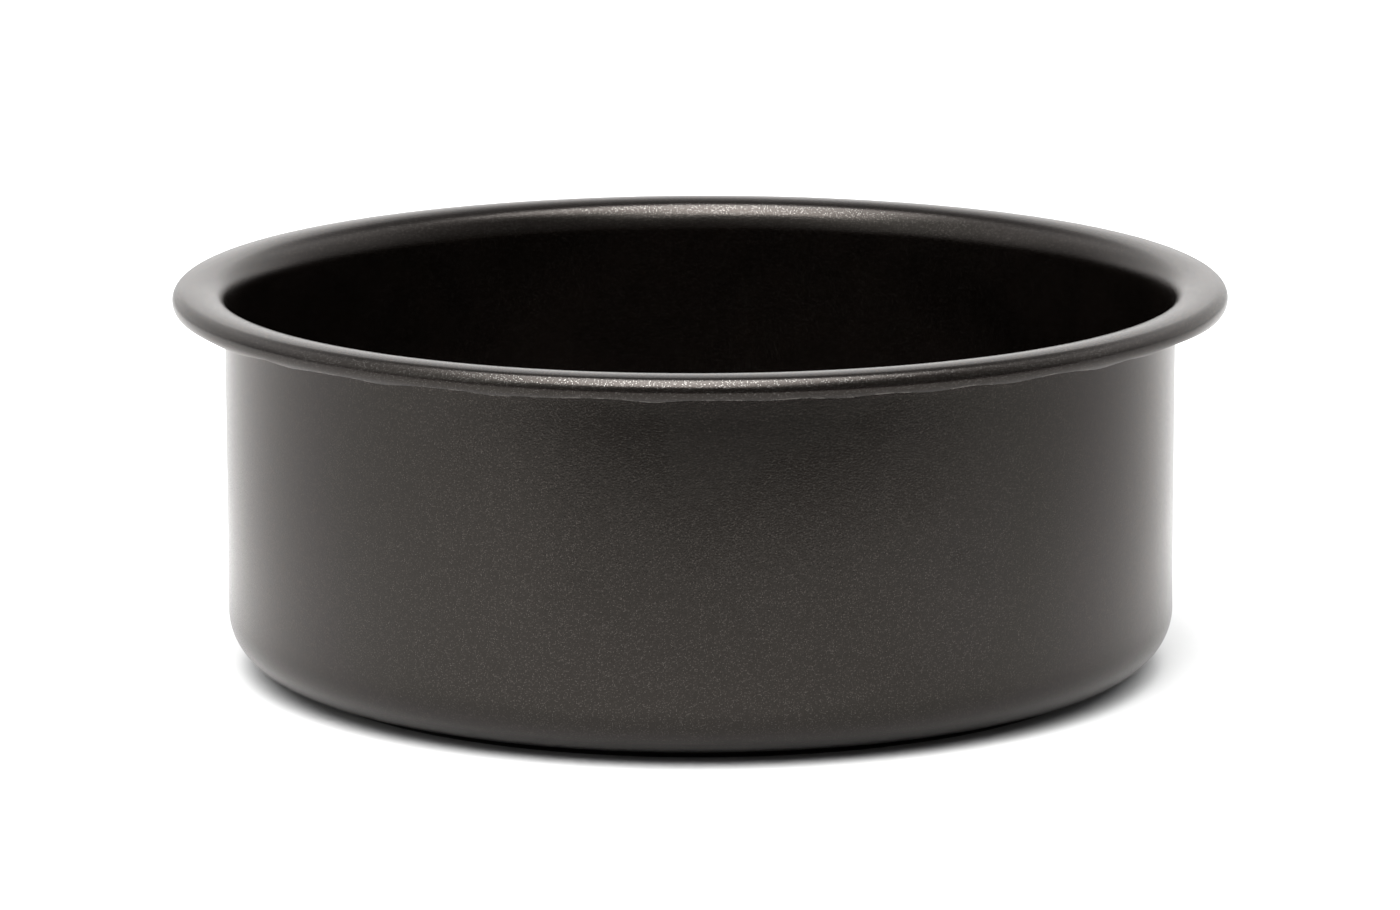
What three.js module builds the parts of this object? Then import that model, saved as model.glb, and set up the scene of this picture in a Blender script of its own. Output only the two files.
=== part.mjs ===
// Deep round baking pan in two pieces: a drawn ring with a rolled rim and a
// turned-in ledge, pressed down a step below the foot, and a loose base plate
// that lies on the ledge and is pushed up from below to lift the bake out.
// Millimetres, +Z up, origin at the centre of the plane the pan stands on.
import * as THREE from 'three';

// ---- driving dimensions ----------------------------------------------------
const INNER_R = 100.0;    // inside of the straight wall: a 20 cm tin
const SHEET = 0.8;        // sheet of the ring
const HEIGHT = 82.5;      // standing plane to the crown of the rim
const FOOT_R = 11.0;      // outside radius where the wall turns in at the foot
const FOOT_Z = 1.8;       // the turn ends this far above the standing plane
const STAND_R = 87.7;     // outer edge of the flat the pan stands on
const BEND = 1.0;         // middle radius of the two bends of the pressed step
const LEDGE_R = 80.0;     // opening in the ledge, where a hand pushes the base up

// Rim, as tangent arcs of its upper surface. The outward normal starts at 180
// degrees (towards the axis, on the wall's inside), passes 90 (up) on the crown
// and 0 (away from the axis) on the roll. Each arc: radius, normal where it ends,
// steps on the upper surface, steps on the lower surface.
const RIM = [
  { radius: 9.85, end: 158, steps: 2, under: 2 },   // wall leaning outwards
  { radius: 4.5, end: 106, steps: 4, under: 4 },    // flare
  { radius: 12.9, end: 79, steps: 3, under: 2 },    // broad, nearly flat crown
  { radius: 2.65, end: -38, steps: 8, under: 5 },   // hollow roll, open underneath
];
const TAIL = 0.4;         // straight run at the roll's free edge

// loose base plate
const BASE_T = 1.0;       // plate thickness
const BASE_R = 87.2;      // outer edge, clear of the step round the ledge
const SEAT_GAP = 0.3;     // between the ledge and the plate's flange
const STEP_R = 79.4;      // locating step, loose in the ledge's opening
const STEP_DROP = 0.7;    // how far the middle of the plate drops into the opening
const EDGE = 0.25;        // broken edge all round the plate

const SEGMENTS = 80;      // around the axis
const DEG = Math.PI / 180;

// ---- sections (x = radius, y = height) -------------------------------------
function arc(cx, cy, r, from, to, steps) {
  const points = [];
  for (let i = 0; i <= steps; i++) {
    const a = (from + (to - from) * i / steps) * DEG;
    points.push(new THREE.Vector2(cx + r * Math.cos(a), cy + r * Math.sin(a)));
  }
  return points;
}

// the rim's arcs with their centres, set so that the crown's top is at HEIGHT
function rimArcs() {
  const arcs = [];
  let start = 180;
  let x = INNER_R + RIM[0].radius;
  let y = 0;
  let previous = RIM[0].radius;
  let top = 0;
  for (const { radius, end, steps, under } of RIM) {
    x += (previous - radius) * Math.cos(start * DEG);
    y += (previous - radius) * Math.sin(start * DEG);
    arcs.push({ x, y, radius, start, end, steps, under });
    if (start >= 90 && end <= 90) top = y + radius;
    start = end;
    previous = radius;
  }
  for (const a of arcs) a.y += HEIGHT - top;
  return arcs;
}

// the foot from the flat outwards, at a distance above the sheet's lower surface:
// two bends of the pressed step, then the turn up into the wall
function footArcs(offset) {
  const half = SHEET / 2;
  const tilt = Math.acos(1 - FOOT_Z / (2 * BEND));
  const run = 2 * BEND * Math.sin(tilt);
  return [
    [STAND_R, half + BEND, half + BEND - offset, -90, -90 + tilt / DEG, 3],
    [STAND_R + run, FOOT_Z + half - BEND, BEND - half + offset, 90 + tilt / DEG, 90, 3],
    [INNER_R + SHEET - FOOT_R, FOOT_Z + FOOT_R, FOOT_R - offset, -90, 0, 6],
  ];
}

function ringSection() {
  const arcs = rimArcs();
  const roll = arcs[arcs.length - 1];
  const edge = roll.end * DEG;
  // end of the straight run, at a distance from the roll's centre line
  const tail = (r) => new THREE.Vector2(
    roll.x + r * Math.cos(edge) + TAIL * Math.sin(edge),
    roll.y + r * Math.sin(edge) - TAIL * Math.cos(edge));

  // outside: ledge underneath, step, foot, wall
  const section = [new THREE.Vector2(LEDGE_R, 0)];
  footArcs(0).forEach(([x, y, r, from, to, steps], i) => section.push(
    ...arc(x, y, r, from, to, steps).slice(i === 1 ? 1 : 0)));
  // underside of the rim, one sheet inside its upper surface
  arcs.forEach((a, i) => section.push(
    ...arc(a.x, a.y, a.radius - SHEET, a.start, a.end, a.under).slice(i ? 1 : 0)));
  // cut edge of the roll, then back over the top of the rim
  section.push(tail(roll.radius - SHEET), tail(roll.radius));
  [...arcs].reverse().forEach((a, i) => section.push(
    ...arc(a.x, a.y, a.radius, a.end, a.start, a.steps).slice(i ? 1 : 0)));
  // inside: wall, foot, step, top of the ledge
  footArcs(SHEET).reverse().forEach(([x, y, r, from, to, steps], i) => section.push(
    ...arc(x, y, r, to, from, steps).slice(i === 2 ? 1 : 0)));
  section.push(new THREE.Vector2(LEDGE_R, SHEET));
  section.push(section[0].clone());
  return section;
}

function baseSection() {
  const seat = SHEET + SEAT_GAP;            // underside of the flange
  const panel = seat - STEP_DROP;           // underside of the middle
  const slope = STEP_DROP;                  // the step is pressed at 45 degrees
  const half = BASE_T * Math.tan(22.5 * DEG);
  return [
    new THREE.Vector2(0, panel),
    new THREE.Vector2(STEP_R - slope, panel),
    new THREE.Vector2(STEP_R, seat),
    new THREE.Vector2(BASE_R - EDGE, seat),
    new THREE.Vector2(BASE_R, seat + EDGE),
    new THREE.Vector2(BASE_R, seat + BASE_T - EDGE),
    new THREE.Vector2(BASE_R - EDGE, seat + BASE_T),
    new THREE.Vector2(STEP_R - half, seat + BASE_T),
    new THREE.Vector2(STEP_R - slope - half, panel + BASE_T),
    new THREE.Vector2(0, panel + BASE_T),
  ];
}

// ---- solids ----------------------------------------------------------------
function turned(section) {
  const geometry = new THREE.LatheGeometry(section, SEGMENTS);
  geometry.rotateX(Math.PI / 2);            // lathe axis to +Z
  return geometry;
}

const ringCoat = new THREE.MeshStandardMaterial({
  color: new THREE.Color(0.040, 0.036, 0.033), roughness: 0.42, metalness: 0.25,
});
const baseCoat = new THREE.MeshStandardMaterial({
  color: new THREE.Color(0.036, 0.033, 0.031), roughness: 0.46, metalness: 0.25,
});

const pan = new THREE.Group();

const panRing = new THREE.Mesh(turned(ringSection()), ringCoat);
panRing.name = 'pan_ring';
pan.add(panRing);

const looseBase = new THREE.Mesh(turned(baseSection()), baseCoat);
looseBase.name = 'loose_base';
pan.add(looseBase);

export default pan;
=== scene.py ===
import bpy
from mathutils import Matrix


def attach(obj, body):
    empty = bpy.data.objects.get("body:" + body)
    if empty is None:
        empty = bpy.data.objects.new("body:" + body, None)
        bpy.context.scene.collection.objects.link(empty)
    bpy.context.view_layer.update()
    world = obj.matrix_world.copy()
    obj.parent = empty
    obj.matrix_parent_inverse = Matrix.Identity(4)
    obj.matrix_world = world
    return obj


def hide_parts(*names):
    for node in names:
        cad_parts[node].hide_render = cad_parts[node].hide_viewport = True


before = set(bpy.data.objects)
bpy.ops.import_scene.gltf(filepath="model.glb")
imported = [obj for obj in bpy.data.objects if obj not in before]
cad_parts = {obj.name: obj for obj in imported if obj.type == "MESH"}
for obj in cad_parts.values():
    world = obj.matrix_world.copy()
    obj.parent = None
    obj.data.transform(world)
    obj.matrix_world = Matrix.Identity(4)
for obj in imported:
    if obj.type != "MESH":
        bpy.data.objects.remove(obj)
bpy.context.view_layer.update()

import math

import bpy
import numpy as np
from mathutils import Matrix, Vector

# Deep round baking pan: a drawn sheet-metal ring with a rolled rim, rounded foot and
# turned-in ledge, and a loose base plate with a pressed locating step that lies on the
# ledge. Both are coated inside and out with a dark satin coating of fine sprayed grain.
# Sections are written in millimetres (radius, height) and turned about +Z; angles around
# the pan are measured from the front (-Y), positive towards +X.

MM = 0.001
SECTORS = 432

# ---- the ring's section, as in the construction model ----------------------------------
INNER_R = 100.0
SHEET = 0.8
HEIGHT = 82.49
FOOT_R = 11.0             # outside radius where the wall turns in at the foot
FOOT_Z = 1.8              # the turn ends this far above the standing plane
STAND_R = 87.7            # outer edge of the flat the pan stands on
BEND = 1.0                # middle radius of the pressed step between the two
LEDGE_R = 80.0
RIM = [  # radius, where the outward normal ends, steps above, steps below
    (9.85, 158.0, 9, 6),
    (4.50, 106.0, 14, 9),
    (12.90, 79.0, 14, 7),
    (2.65, -38.0, 32, 14),
]
TAIL = 0.38               # straight run at the roll's free edge, where it is even

# ---- the base plate's section -----------------------------------------------------------
BASE_T = 1.0
BASE_R = 87.2
SEAT = SHEET + 0.3
STEP_R = 79.4
STEP_DROP = 0.7
EDGE = 0.25

# ---- the free edge of the roll ----------------------------------------------------------
# The drawn sheet is not quite even where the rim is rolled under, so its free edge dips at
# narrow kinks about every ten degrees. Pairs of angle and height against an even edge.
KINKS = [
    (-71.0, 0.12), (-66.0, 0.04), (-61.5, -0.25), (-57.7, -0.32), (-52.6, 0.25),
    (-48.2, -0.32), (-44.5, 0.00), (-39.0, 0.02), (-35.2, -0.44), (-31.2, 0.06),
    (-29.3, 0.18), (-25.0, 0.10), (-22.0, -0.38), (-18.5, -0.12), (-15.5, -0.12),
    (-12.2, 0.20), (-8.5, 0.17), (-4.9, -0.45), (-1.2, 0.02), (3.0, 0.09),
    (6.6, -0.17), (10.5, 0.18), (14.5, -0.23), (19.0, 0.24), (20.8, 0.17),
    (24.3, -0.28), (29.0, 0.29), (33.8, -0.26), (39.6, 0.34), (42.3, 0.22),
    (46.6, -0.40), (51.0, 0.25), (55.2, -0.06), (58.6, 0.24), (61.5, 0.34), (68.0, 0.12),
]
EDGE_RUN = 1.5            # length of sheet for each millimetre of height


def edge_wave(phi):
    """Height of the roll's free edge against an even one, in mm, for angles in degrees."""
    rng = np.random.default_rng(20)
    knots = list(KINKS)
    a = 75.0
    while a < 280.0:  # on round the back, in the same manner
        knots.append((a, -rng.uniform(0.06, 0.20)))
        rise = rng.uniform(3.4, 5.0)
        knots.append((a + rise, rng.uniform(0.02, 0.12)))
        knots.append((a + rise + rng.uniform(1.0, 3.0), rng.uniform(0.00, 0.10)))
        a += rng.uniform(8.5, 12.5)
    knots = np.array(sorted(k for k in knots if k[0] < 286.0))
    fine = np.arange(-75.0, 285.0, 0.25)
    span = np.concatenate([knots[:, 0] - 360.0, knots[:, 0], knots[:, 0] + 360.0])
    value = np.interp(fine, span, np.tile(knots[:, 1], 3))
    kernel = np.exp(-0.5 * (np.arange(-16, 17) * 0.25 / 0.40) ** 2)  # kinks are slightly rounded
    value = np.convolve(np.concatenate([value[-16:], value, value[:16]]), kernel / kernel.sum(), "valid")
    return np.interp((np.asarray(phi) + 75.0) % 360.0 - 75.0, fine, value, period=360.0)


# ---- helpers for sections ---------------------------------------------------------------
def arc(cx, cy, r, a0, a1, steps, first=True):
    a = np.radians(np.linspace(a0, a1, steps + 1))
    pts = np.stack([cx + r * np.cos(a), cy + r * np.sin(a)], 1)
    return pts if first else pts[1:]


def line(p, q, steps):
    """Points between p and q, without the ends."""
    t = np.linspace(0.0, 1.0, steps + 1)[1:-1, None]
    return np.array(p) * (1 - t) + np.array(q) * t


def rim_arcs():
    out, start, x, y, previous, top = [], 180.0, INNER_R + RIM[0][0], 0.0, RIM[0][0], 0.0
    for radius, end, above, below in RIM:
        x += (previous - radius) * math.cos(math.radians(start))
        y += (previous - radius) * math.sin(math.radians(start))
        out.append([x, y, radius, start, end, above, below])
        if start >= 90.0 >= end:
            top = y + radius
        start, previous = end, radius
    for a in out:
        a[1] += HEIGHT - top
    return out


def foot_arcs(offset):
    """The foot from the flat outwards, at a distance above the sheet's lower surface: two bends
    of the pressed step, then the turn up into the wall. Each: centre, radius, from, to."""
    tilt = math.degrees(math.acos(1.0 - FOOT_Z / (2.0 * BEND)))
    run = 2.0 * BEND * math.sin(math.radians(tilt))
    half = SHEET / 2.0
    return [
        (STAND_R, half + BEND, half + BEND - offset, -90.0, -90.0 + tilt),
        (STAND_R + run, FOOT_Z + half - BEND, BEND - half + offset, 90.0 + tilt, 90.0),
        (INNER_R + SHEET - FOOT_R, FOOT_Z + FOOT_R, FOOT_R - offset, -90.0, 0.0),
    ]


def roll_points(run, depth):
    """Points of the roll: run is the way along its outer surface in mm, negative on the arc and
    positive on the straight end, and depth the distance under that surface."""
    cx, cy, r, a0, a1 = rim_arcs()[3][:5]
    end = math.radians(a1)
    a = end + np.maximum(-run, 0.0) / r
    on = np.maximum(run, 0.0)
    return (cx + (r - depth) * np.cos(a) + on * math.sin(end),
            cy + (r - depth) * np.sin(a) - on * math.cos(end))


def ring_section():
    """Closed section of the ring: points, how near each is to a cut edge, how far the sheet is
    stretched over the rim there, and for the points of the roll the two arguments of roll_points
    (run is -100 for all the others)."""
    arcs = rim_arcs()
    wall_foot = FOOT_Z + FOOT_R
    wall_top = arcs[0][1]
    pts, cut, over, run, depth = [], [], [], [], []

    def add(points, k=0.0, stretch=0.0):
        points = np.atleast_2d(points)
        pts.append(points)
        cut.append(np.broadcast_to(k, len(points)))
        over.append(np.broadcast_to(stretch, len(points)))
        run.append(np.full(len(points), -100.0))
        depth.append(np.zeros(len(points)))

    def add_roll(s, d, k=0.0):
        s = np.atleast_1d(np.asarray(s, float))
        d = np.broadcast_to(float(d), s.shape)
        pts.append(np.stack(roll_points(s, d), 1))
        cut.append(np.broadcast_to(k, len(s)))
        over.append(np.clip(0.25 - 0.75 * (s + 1.3) / 1.4, 0.25, 1.0))
        run.append(s)
        depth.append(d)

    # rounded edge of the ledge's opening
    add(arc(LEDGE_R + 0.4, 0.4, 0.4, -180, -90, 5), k=1.0)
    add(line((LEDGE_R + 0.4, 0.0), (STAND_R, 0.0), 4))
    # foot and wall, outside
    for k, (cx, cy, r, a0, a1) in enumerate(foot_arcs(0.0)):
        add(arc(cx, cy, r, a0, a1, (5, 5, 30)[k], k != 1))
    add(line((INNER_R + SHEET, wall_foot), (INNER_R + SHEET, wall_top), 12))
    # underside of the rim, the roll last
    for i, (cx, cy, r, a0, a1, above, below) in enumerate(arcs[:3]):
        add(arc(cx, cy, r - SHEET, a0, a1, below, i == 0))
    cx, cy, r, a0, a1, above, below = arcs[3]
    length = r * math.radians(a0 - a1)
    add_roll(np.linspace(-length, -0.2, below + 1)[1:], SHEET)
    # free edge of the roll: cut square, its corners rounded by the coating
    for corner, side, t0, steps in ((0.24, -1, -90, 4), (0.30, 1, 0, 6)):
        for t in np.radians(np.linspace(t0, t0 + 90, steps + 1)):
            off = side * (SHEET / 2 - corner) + corner * math.sin(t)
            add_roll(TAIL - corner + corner * math.cos(t), SHEET / 2 - off, 1.0)
    add_roll(TAIL - 0.38, 0.0, 0.6)
    # upper side of the rim, back to the wall
    add_roll(np.linspace(-0.34, -length, above + 1), 0.0)
    for i, (cx, cy, r, a0, a1, above, below) in reversed(list(enumerate(arcs[:3]))):
        add(arc(cx, cy, r, a1, a0, above, False), 0.0, np.linspace(*((0.3, 0.0), (1.0, 0.3), (1.0, 1.0))[i], above))
    # wall and foot, inside, and the top of the ledge
    add(line((INNER_R, wall_top), (INNER_R, wall_foot), 8))
    for k, (cx, cy, r, a0, a1) in reversed(list(enumerate(foot_arcs(SHEET)))):
        add(arc(cx, cy, r, a1, a0, (5, 5, 14)[k], k != 0))
    add(line((STAND_R, SHEET), (LEDGE_R + 0.4, SHEET), 4))
    add(arc(LEDGE_R + 0.4, 0.4, 0.4, 90, 180, 5)[:-1], k=1.0)
    return tuple(np.concatenate(a) for a in (pts, cut, over, run, depth))


def base_section():
    """Open section of the plate from the axis out underneath and back on top, and how near
    each point is to the cut edge."""
    panel = SEAT - STEP_DROP
    half = BASE_T * math.tan(math.radians(22.5))
    pts, cut = [], []

    def add(points, k=0.0):
        points = np.atleast_2d(points)
        pts.append(points)
        cut.append(np.full(len(points), k))

    def bend(p, q, r, towards):
        """Rounded corner between two straight runs: q is the corner, p before, towards after."""
        p, q, w = map(np.array, (p, q, towards))
        u, v = (p - q) / np.linalg.norm(p - q), (w - q) / np.linalg.norm(w - q)
        half_angle = math.acos(np.clip(u @ v, -1, 1)) / 2
        d = r / math.tan(half_angle)
        c = q + (u + v) / np.linalg.norm(u + v) * r / math.sin(half_angle)
        s, t = q + u * d - c, q + v * d - c
        a0, a1 = math.atan2(s[1], s[0]), math.atan2(t[1], t[0])
        turn = (a1 - a0 + math.pi) % (2 * math.pi) - math.pi
        a = a0 + turn * np.linspace(0, 1, 7)
        return c + r * np.stack([np.cos(a), np.sin(a)], 1)

    low = [(0.0, panel), (STEP_R - STEP_DROP, panel), (STEP_R, SEAT), (BASE_R - EDGE, SEAT)]
    high = [(BASE_R - EDGE, SEAT + BASE_T), (STEP_R - half, SEAT + BASE_T),
            (STEP_R - STEP_DROP - half, panel + BASE_T), (0.0, panel + BASE_T)]
    rings = [0.6, 2.0, 5.0, 10.0, 18.0, 28.0, 40.0, 52.0, 62.0, 70.0, 75.0]
    add([(r, panel) for r in rings])
    add(bend(low[0], low[1], 0.5, low[2]))
    add(bend(low[1], low[2], 0.35, low[3]))
    add(line((STEP_R + 0.4, SEAT), (BASE_R - 0.5, SEAT), 6))
    add(arc(BASE_R - 0.5, SEAT + 0.5, 0.5, -90, 90, 12), 1.0)
    add(line((BASE_R - 0.5, SEAT + BASE_T), (STEP_R, SEAT + BASE_T), 6))
    add(bend(high[0], high[1], 0.6, high[2]))
    add(bend(high[1], high[2], 0.5, high[3]))
    add([(r, panel + BASE_T) for r in reversed(rings)])
    return np.concatenate(pts), np.concatenate(cut), panel


# ---- turning sections into meshes -------------------------------------------------------
def slow_waves(phi, z, seed, amount):
    """Small unevenness of drawn sheet: a few long waves around, changing with height."""
    rng = np.random.default_rng(seed)
    total = np.zeros(np.broadcast(phi, z).shape)
    for k in (2, 3, 4, 5, 7, 9):
        p, q = rng.uniform(0, 2 * math.pi, 2)
        total = total + rng.uniform(0.4, 1.0) / k * np.cos(k * phi + p + 0.9 * np.sin(z / 31.0 + q))
    return amount * total


def turned_mesh(name, rows, closed, poles=None, attributes=None):
    """Mesh from rows[i, j] = point i of the section at sector j. closed joins the last row to
    the first; poles are the two centre points of an open section."""
    n, m = rows.shape[:2]
    verts = rows.reshape(-1, 3) * MM
    i = np.arange(n if closed else n - 1)[:, None]
    j = np.arange(m)[None, :]
    a, b = i * m + j, i * m + (j + 1) % m
    c, d = ((i + 1) % n) * m + (j + 1) % m, ((i + 1) % n) * m + j
    faces = np.stack([a, b, c, d], -1).reshape(-1, 4).tolist()
    verts = verts.tolist()
    if poles is not None:
        low, high = len(verts), len(verts) + 1
        verts += [[x * MM for x in poles[0]], [x * MM for x in poles[1]]]
        last = (n - 1) * m
        faces += [[low, (k + 1) % m, k] for k in range(m)]
        faces += [[high, last + k, last + (k + 1) % m] for k in range(m)]
    mesh = bpy.data.meshes.new(name)
    mesh.from_pydata(verts, [], faces)
    mesh.validate()
    mesh.polygons.foreach_set("use_smooth", np.ones(len(mesh.polygons), bool))
    for key, values in (attributes or {}).items():
        flat = np.zeros(len(mesh.vertices), np.float32)
        flat[: n * m] = np.repeat(values, m) if values.ndim == 1 else values.reshape(-1)
        mesh.attributes.new(key, "FLOAT", "POINT").data.foreach_set("value", flat)
    mesh.update()
    piece = bpy.data.objects.new(name, mesh)
    bpy.context.scene.collection.objects.link(piece)
    return piece


PHI = np.linspace(-math.pi, math.pi, SECTORS, endpoint=False)


def make_ring():
    pts, cut, over, run, depth = ring_section()
    r = np.repeat(pts[:, :1], SECTORS, 1)
    z = np.repeat(pts[:, 1:], SECTORS, 1)
    # uneven free edge: the roll runs on further where the edge dips
    roll = run > -99.0
    share = np.clip((run[roll] + 2.2) / 2.1, 0.0, 1.0)
    share = share * share * (3.0 - 2.0 * share)
    longer = -EDGE_RUN * edge_wave(np.degrees(PHI))[None, :] * share[:, None]
    r[roll], z[roll] = roll_points(run[roll][:, None] + longer, depth[roll][:, None])
    # long, slight waves in the wall, dying out towards the foot's flat
    height = np.clip((z - 2.0) / 20.0, 0.0, 1.0)
    r = r + (slow_waves(PHI[None, :], z, 3, 0.045) - 0.05) * height
    rows = np.stack([r * np.sin(PHI), -r * np.cos(PHI), z], -1)
    return turned_mesh("baking_pan_ring", rows, True, attributes={"cut_edge": cut, "stretched": over})


def make_base():
    pts, cut, panel = base_section()
    r = np.repeat(pts[:, :1], SECTORS, 1)
    z = np.repeat(pts[:, 1:], SECTORS, 1)
    sag = slow_waves(PHI[None, :], r, 8, 0.03) * np.clip(r / 60.0, 0, 1) * np.clip((78.0 - r) / 10.0, 0, 1)
    z = z + sag
    rows = np.stack([r * np.sin(PHI), -r * np.cos(PHI), z], -1)
    poles = ((0.0, 0.0, panel), (0.0, 0.0, panel + BASE_T))
    return turned_mesh("baking_pan_base", rows, False, poles, {"cut_edge": cut})


# ---- materials --------------------------------------------------------------------------
class Graph:
    """Small helper for writing node trees."""

    def __init__(self, tree):
        self.tree = tree
        tree.nodes.clear()

    def node(self, kind, **settings):
        n = self.tree.nodes.new(kind)
        for key, value in settings.items():
            setattr(n, key, value)
        return n

    def link(self, a, b):
        self.tree.links.new(a, b)

    def put(self, socket, value):
        if hasattr(value, "is_output"):
            self.link(value, socket)
        else:
            socket.default_value = value

    def math(self, op, a, b=0.0, c=0.0, clamp=False):
        n = self.node("ShaderNodeMath", operation=op, use_clamp=clamp)
        for s, v in zip(n.inputs, (a, b, c)):
            self.put(s, v)
        return n.outputs[0]

    def noise(self, vector, scale, detail=2.0, rough=0.5, distortion=0.0):
        n = self.node("ShaderNodeTexNoise")
        self.link(vector, n.inputs["Vector"])
        for key, v in (("Scale", scale), ("Detail", detail), ("Roughness", rough), ("Distortion", distortion)):
            n.inputs[key].default_value = v
        return n.outputs["Fac"]

    def spread(self, value, lo, hi, to_lo, to_hi, smooth=False):
        n = self.node("ShaderNodeMapRange", interpolation_type="SMOOTHSTEP" if smooth else "LINEAR")
        self.put(n.inputs["Value"], value)
        for key, v in (("From Min", lo), ("From Max", hi), ("To Min", to_lo), ("To Max", to_hi)):
            n.inputs[key].default_value = v
        return n.outputs["Result"]

    def mix(self, factor, a, b):
        n = self.node("ShaderNodeMix", data_type="RGBA")
        self.put(n.inputs["Factor"], factor)
        self.put(n.inputs["A"] if False else n.inputs[6], a)
        self.put(n.inputs[7], b)
        return n.outputs[2]


def coating(name, dark, light, rough, grain_depth, wear_and_glint_colour):
    """Satin non-stick coating: brown-black body colour with soft mottling, fine sprayed grain
    in the bump and gloss, small bright flakes, and lighter cut edges: thinned coating, on the ring partly a painted
    highlight line."""
    m = bpy.data.materials.new(name)
    m.use_nodes = True
    g = Graph(m.node_tree)
    out = g.node("ShaderNodeOutputMaterial")
    skin = g.node("ShaderNodeBsdfPrincipled")
    g.link(skin.outputs[0], out.inputs["Surface"])
    place = g.node("ShaderNodeTexCoord").outputs["Object"]
    edge = g.node("ShaderNodeAttribute", attribute_name="cut_edge").outputs["Fac"]

    cloud = g.noise(place, 38.0, 4.0, 0.55, 0.4)         # uneven spraying, some 25 mm across
    patch = g.noise(place, 150.0, 3.0, 0.6)              # and some 6 mm
    grain = g.noise(place, 2800.0, 2.0, 0.55)            # droplets about a third of a millimetre
    dust = g.noise(place, 5200.0, 1.0, 0.5)
    tone = g.math("ADD", g.math("MULTIPLY", cloud, 0.55), g.math("MULTIPLY", patch, 0.45))
    tone = g.spread(tone, 0.36, 0.64, 0.0, 1.0)
    body = g.mix(tone, dark, light)
    speckle = g.spread(grain, 0.35, 0.68, 0.75, 1.3)
    tint = g.node("ShaderNodeVectorMath", operation="SCALE")
    g.link(body, tint.inputs[0])
    g.link(speckle, tint.inputs["Scale"])

    # lighter cut edges: thinned coating, and with the ring's light colour also a painted highlight along the roll's
    # edge
    chips = g.noise(place, 420.0, 3.0, 0.6)
    wear_and_glint = g.math("MULTIPLY", edge, g.spread(chips, 0.42, 0.62, 0.0, 1.0, True))
    wear_and_glint = g.math("MULTIPLY", wear_and_glint, 0.65)
    colour = g.mix(wear_and_glint, tint.outputs[0], wear_and_glint_colour)

    # bright flakes: dots in some of the cells of a fine cell pattern, brighter where the sheet
    # is stretched over the rim
    cells = g.node("ShaderNodeTexVoronoi", feature="F1")
    g.link(place, cells.inputs["Vector"])
    cells.inputs["Scale"].default_value = 4300.0
    pick = g.node("ShaderNodeSeparateColor")
    g.link(cells.outputs["Color"], pick.inputs[0])
    chosen = g.spread(pick.outputs[0], 0.55, 0.95, 0.0, 1.0)
    dot = g.spread(cells.outputs["Distance"], 0.20, 0.55, 1.0, 0.0, True)
    flake = g.math("MULTIPLY", chosen, dot)
    bare = g.spread(flake, 0.02, 0.12, 0.0, 1.0)
    stretched = g.node("ShaderNodeAttribute", attribute_name="stretched").outputs["Fac"]
    bright = g.mix(stretched, (0.100, 0.090, 0.082, 1.0), (0.163, 0.157, 0.150, 1.0))
    metal = g.mix(flake, (0.030, 0.027, 0.025, 1.0), bright)
    g.link(g.mix(bare, colour, metal), skin.inputs["Base Color"])
    g.link(bare, skin.inputs["Metallic"])

    # gloss follows the droplets
    gloss = g.math("ADD", g.math("MULTIPLY", g.math("SUBTRACT", grain, 0.5), 0.22), rough)
    gloss = g.math("ADD", gloss, g.math("MULTIPLY", g.math("SUBTRACT", cloud, 0.5), 0.10))
    gloss = g.math("SUBTRACT", gloss, g.math("MULTIPLY", wear_and_glint, 0.06), clamp=True)
    g.link(gloss, skin.inputs["Roughness"])

    relief = g.math("ADD", g.math("MULTIPLY", grain, 1.0), g.math("MULTIPLY", dust, 0.35))
    relief = g.math("ADD", relief, g.math("MULTIPLY", patch, 0.25))
    bump = g.node("ShaderNodeBump")
    bump.inputs["Strength"].default_value = 1.0
    bump.inputs["Distance"].default_value = grain_depth
    g.link(relief, bump.inputs["Height"])
    g.link(bump.outputs[0], skin.inputs["Normal"])
    skin.inputs["IOR"].default_value = 1.4
    skin.inputs["Specular IOR Level"].default_value = 0.5
    skin.inputs["Specular Tint"].default_value = (1.0, 0.90, 0.83, 1.0)
    return m


# ---- build ------------------------------------------------------------------------------
ring = make_ring()
# the ring's light edge colour is partly painted highlight for the bright line along the roll's cut edge
ring.data.materials.append(coating("ring_coat_satin", (0.0005, 0.0003, 0.0002, 1), (0.0012, 0.0008, 0.0006, 1), 0.18, 2.8e-5, (0.095, 0.088, 0.081, 1)))
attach(ring, "pan")
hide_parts("pan_ring")

base = make_base()
base.data.materials.append(coating("base_coat_satin", (0.0006, 0.0004, 0.0003, 1), (0.0014, 0.0010, 0.0008, 1), 0.21, 2.8e-5, (0.012, 0.011, 0.010, 1)))
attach(base, "base")
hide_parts("loose_base")


# ---- studio -----------------------------------------------------------------------------
def plane(name, x0, x1, y0, y1, z):
    mesh = bpy.data.meshes.new(name)
    mesh.from_pydata([(x0, y0, z), (x1, y0, z), (x1, y1, z), (x0, y1, z)], [], [(0, 1, 2, 3)])
    o = bpy.data.objects.new(name, mesh)
    bpy.context.scene.collection.objects.link(o)
    return o


def matt(name, colour):
    m = bpy.data.materials.new(name)
    m.use_nodes = True
    g = Graph(m.node_tree)
    out = g.node("ShaderNodeOutputMaterial")
    d = g.node("ShaderNodeBsdfDiffuse")
    d.inputs["Color"].default_value = colour
    g.link(d.outputs[0], out.inputs["Surface"])
    return m


floor = plane("studio_floor", -40, 40, -40, 40, 0.0)
floor.data.materials.append(matt("pale_floor", (0.37, 0.37, 0.37, 1)))
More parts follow.
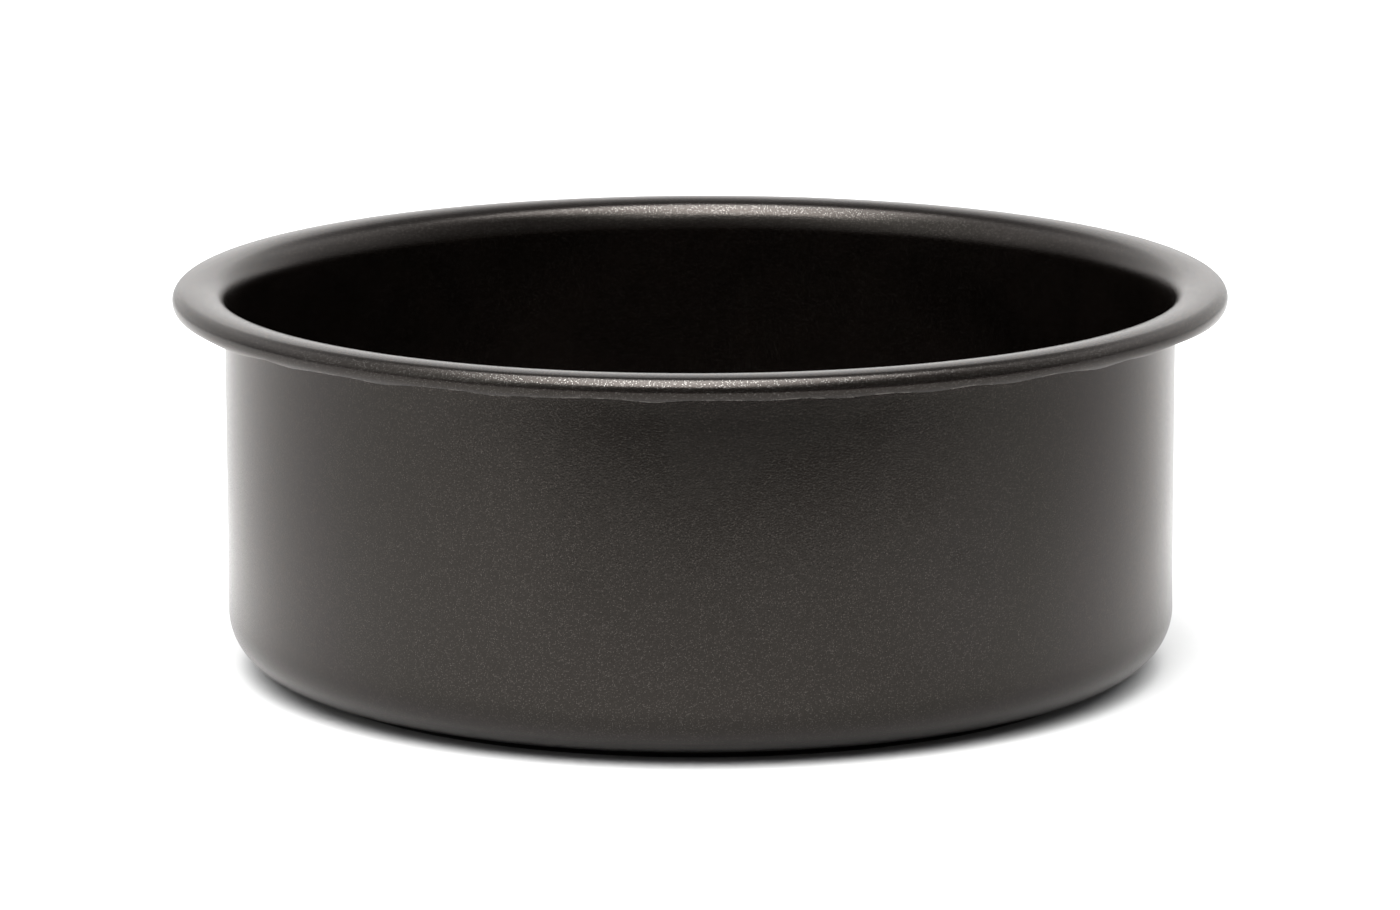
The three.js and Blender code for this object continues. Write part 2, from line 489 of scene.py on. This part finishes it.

# painted dark reflection: a black sheet on the floor in front and to the right, fading out towards the pan,
#  and thinly far behind: only the gloss of the pan sees it
dark_reflection_sheet = plane("studio_painted_reflection_sheet", -8.0, 8.0, -2.6, 30.0, 0.0006)
shade = bpy.data.materials.new("painted_dark_reflection")
shade.use_nodes = True
g = Graph(shade.node_tree)
out = g.node("ShaderNodeOutputMaterial")
blend = g.node("ShaderNodeMixShader")
g.link(g.node("ShaderNodeBsdfTransparent").outputs[0], blend.inputs[1])
black = g.node("ShaderNodeBsdfDiffuse")
black.inputs["Color"].default_value = (0.005, 0.005, 0.005, 1)
g.link(black.outputs[0], blend.inputs[2])
g.link(blend.outputs[0], out.inputs["Surface"])
where = g.node("ShaderNodeTexCoord").outputs["Object"]


def rise(value, near, far, amount):
    """What is left of the light: 1 up to a distance (m), 1 less an amount beyond another."""
    return g.spread(value, near, far, 1.0, 1.0 - amount, True)


def along(direction):
    d = g.node("ShaderNodeVectorMath", operation="DOT_PRODUCT")
    g.link(where, d.inputs[0])
    d.inputs[1].default_value = (direction[0], direction[1], 0.0)
    return d.outputs["Value"]


away = g.node("ShaderNodeVectorMath", operation="DISTANCE")
g.link(where, away.inputs[0])
away.inputs[1].default_value = (0.0, -0.12, 0.0)
away = away.outputs["Value"]
left = g.math("MULTIPLY", rise(away, 0.02, 0.09, 0.10), rise(away, 0.17, 0.36, 0.17))
left = g.math("MULTIPLY", left, rise(along((0.75, -0.66)), 0.02, 0.12, 0.16))
left = g.math("MULTIPLY", left, rise(along((0.90, -0.44)), 0.22, 0.36, 0.13))
left = g.math("MULTIPLY", left, rise(along((0.14, -0.99)), 0.325, 0.46, 0.92))
left = g.math("MULTIPLY", left, rise(along((0.0, 1.0)), 0.42, 0.80, 0.22))
cover = g.math("SUBTRACT", 1.0, left)
g.link(cover, blend.inputs["Fac"])
dark_reflection_sheet.data.materials.append(shade)
dark_reflection_sheet.visible_camera = False
dark_reflection_sheet.visible_diffuse = False
dark_reflection_sheet.visible_transmission = False
dark_reflection_sheet.visible_shadow = False


def aim(o, location, target):
    d = Vector(target) - Vector(location)
    o.matrix_world = Matrix.Translation(location) @ d.to_track_quat("-Z", "Y").to_matrix().to_4x4()


def softbox(name, elevation, side, distance, wide, high, radiance):
    """Rectangular lamp. elevation runs in the vertical plane from the camera's side (0) over
    the top (90) to the back; side is how far it stands to the right, in degrees."""
    e, s = math.radians(elevation), math.radians(side)
    way = Vector((math.sin(s), -math.cos(s) * math.cos(e), math.cos(s) * math.sin(e)))
    lamp = bpy.data.lights.new(name, "AREA")
    lamp.shape = "RECTANGLE"
    lamp.size, lamp.size_y = wide, high
    lamp.energy = math.pi * wide * high * radiance
    o = bpy.data.objects.new(name, lamp)
    bpy.context.scene.collection.objects.link(o)
    target = Vector((0, 0, 0.06))
    aim(o, target + way * distance, target)
    o.visible_camera = False
    return o


# one overhead softbox, brightest in its middle: panels behind each other, so that it fades
# towards its edges. Half width and half height in degrees and share of the light.
for k, (half, tall, share) in enumerate(((11.0, 27.0, 0.30), (20.0, 30.0, 0.31), (29.0, 33.0, 0.30), (37.0, 41.0, 0.09))):
    softbox("softbox_overhead_%d" % k, 70.0, -5.0, 2.2 + 0.02 * k, 4.4 * math.tan(math.radians(half)),
            4.4 * math.tan(math.radians(tall)), 12.6 * share)

wash = bpy.data.lights.new("overhead_wash", "SUN")
wash.angle = math.radians(110)
wash.energy = 7.9
wash_o = bpy.data.objects.new("overhead_wash", wash)
bpy.context.scene.collection.objects.link(wash_o)
wash_o.visible_glossy = False
wash_o.visible_camera = False

world = bpy.data.worlds.new("studio")
bpy.context.scene.world = world
world.use_nodes = True
g = Graph(world.node_tree)
wout = g.node("ShaderNodeOutputWorld")
light = g.node("ShaderNodeBackground")
g.link(light.outputs[0], wout.inputs["Surface"])
way = g.node("ShaderNodeTexCoord").outputs["Generated"]


def toward(direction, wide, narrow):
    """1 near a direction, 0 far from it, with a soft edge between two angles in degrees."""
    d = Vector(direction).normalized()
    n = g.node("ShaderNodeVectorMath", operation="DOT_PRODUCT")
    g.link(way, n.inputs[0])
    n.inputs[1].default_value = d
    return g.spread(n.outputs["Value"], math.cos(math.radians(wide)), math.cos(math.radians(narrow)), 0.0, 1.0, True)


dim_front = toward((0.45, -0.88, 0.10), 84, 25)      # dark side of the room, front right
dim_top = toward((0.0, 0.50, 0.866), 42, 17)         # gap above the white background
level = g.math("SUBTRACT", 1.4, g.math("MULTIPLY", dim_front, 1.10))
level = g.math("SUBTRACT", level, g.math("MULTIPLY", dim_top, 1.06))
level = g.math("MAXIMUM", level, 0.2)
# darker towards the floor, but not behind the pan
axes = g.node("ShaderNodeSeparateXYZ")
g.link(way, axes.inputs[0])
low = g.spread(axes.outputs["Z"], 0.0, 0.37, 0.58, 0.0, True)
low = g.math("MULTIPLY", low, g.spread(axes.outputs["Y"], 0.30, 0.65, 1.0, 0.0, True))
level = g.math("MULTIPLY", level, g.math("SUBTRACT", 1.0, low))
# the white background is a little darker to both sides
side = g.spread(g.math("ABSOLUTE", axes.outputs["X"]), 0.05, 0.40, 0.0, 0.24, True)
side = g.math("MULTIPLY", side, g.spread(axes.outputs["Z"], 0.30, 0.55, 1.0, 0.0, True))
side = g.math("MULTIPLY", side, g.spread(axes.outputs["Y"], -0.05, 0.25, 0.0, 1.0, True))
level = g.math("MULTIPLY", level, g.math("SUBTRACT", 1.0, side))
# seen directly, the background is plain white on all sides
direct = g.node("ShaderNodeLightPath").outputs["Is Camera Ray"]
level = g.math("ADD", g.math("MULTIPLY", level, g.math("SUBTRACT", 1.0, direct)), g.math("MULTIPLY", direct, 1.4))
g.link(level, light.inputs["Strength"])
light.inputs["Color"].default_value = (1, 1, 1, 1)

# ---- camera, from the photograph's perspective ------------------------------------------
cam = bpy.data.cameras.new("camera")
cam.sensor_width = 36.0
cam.sensor_fit = "HORIZONTAL"
cam.lens = 177.34
cam.clip_start, cam.clip_end = 0.05, 200.0
camera = bpy.data.objects.new("camera", cam)
bpy.context.scene.collection.objects.link(camera)
camera.matrix_world = (
    Matrix.Translation((0.00002, -1.4404, 0.3393))
    @ Matrix.Rotation(math.radians(0.0041), 4, "Z")
    @ Matrix.Rotation(math.radians(90.0 - 11.572), 4, "X")
    @ Matrix.Rotation(math.radians(-0.1347), 4, "Z")
)
bpy.context.scene.camera = camera
bpy.context.scene.view_settings.view_transform = "Standard"
bpy.context.scene.view_settings.look = "None"

# ---- final update of the scene ----------------------------------------------------------
bpy.context.view_layer.update()
